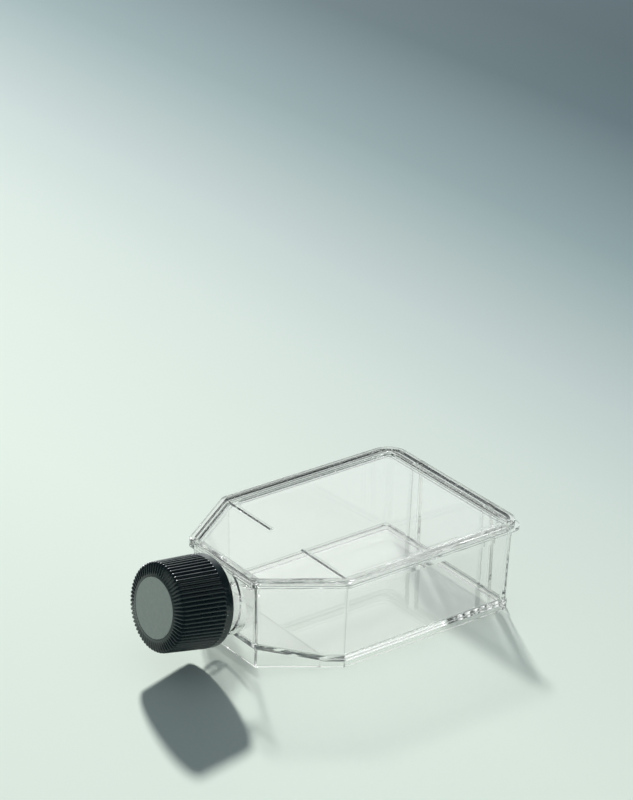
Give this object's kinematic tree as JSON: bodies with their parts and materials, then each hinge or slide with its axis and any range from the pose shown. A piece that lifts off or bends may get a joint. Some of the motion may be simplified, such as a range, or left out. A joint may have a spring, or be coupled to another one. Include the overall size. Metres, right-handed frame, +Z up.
{
  "type": "cell culture flask",
  "caption": "Flat-sided clear cell culture flask with a canted neck, ribbed screw cap, sunk panel in the top face and a skirt that lets flasks stack.",
  "frame": {"origin": "on the table, under the middle of the whole flask with its cap on", "axes": "+X from the neck towards the rear wall, +Y across the flask, +Z up from the growth face on the table towards the top plate"},
  "size_m": [0.0932, 0.052, 0.0279],
  "materials": {
    "clear_polystyrene": "clear, glossy moulded polystyrene",
    "black_cap": "satin moulded black plastic",
    "grey_disc": "fine matt grain",
    "white_liner": "matt"
  },
  "bodies": {
    "flask": {"flask_body": "clear_polystyrene", "top_plate": "clear_polystyrene"},
    "liner": {"cap_liner": "white_liner"},
    "cap": {"screw_cap": "black_cap", "cap_disc": "grey_disc"}
  },
  "joints": [
    {"name": "cap_lift", "type": "slide", "parent": "flask", "child": "liner", "axis": [-0.9854, 0, 0.1702], "range_m": [0, 0.0143]},
    {"name": "cap_turn", "type": "hinge", "parent": "liner", "child": "cap", "pos_m": [-0.03616, 0, 0.01566], "axis": [-0.9854, 0, 0.1702], "range_deg": [0, 1620]}
  ],
  "couplings": [
    {"joint": "cap_lift", "follows": "cap_turn", "m_per_rad": 0.00050532}
  ]
}
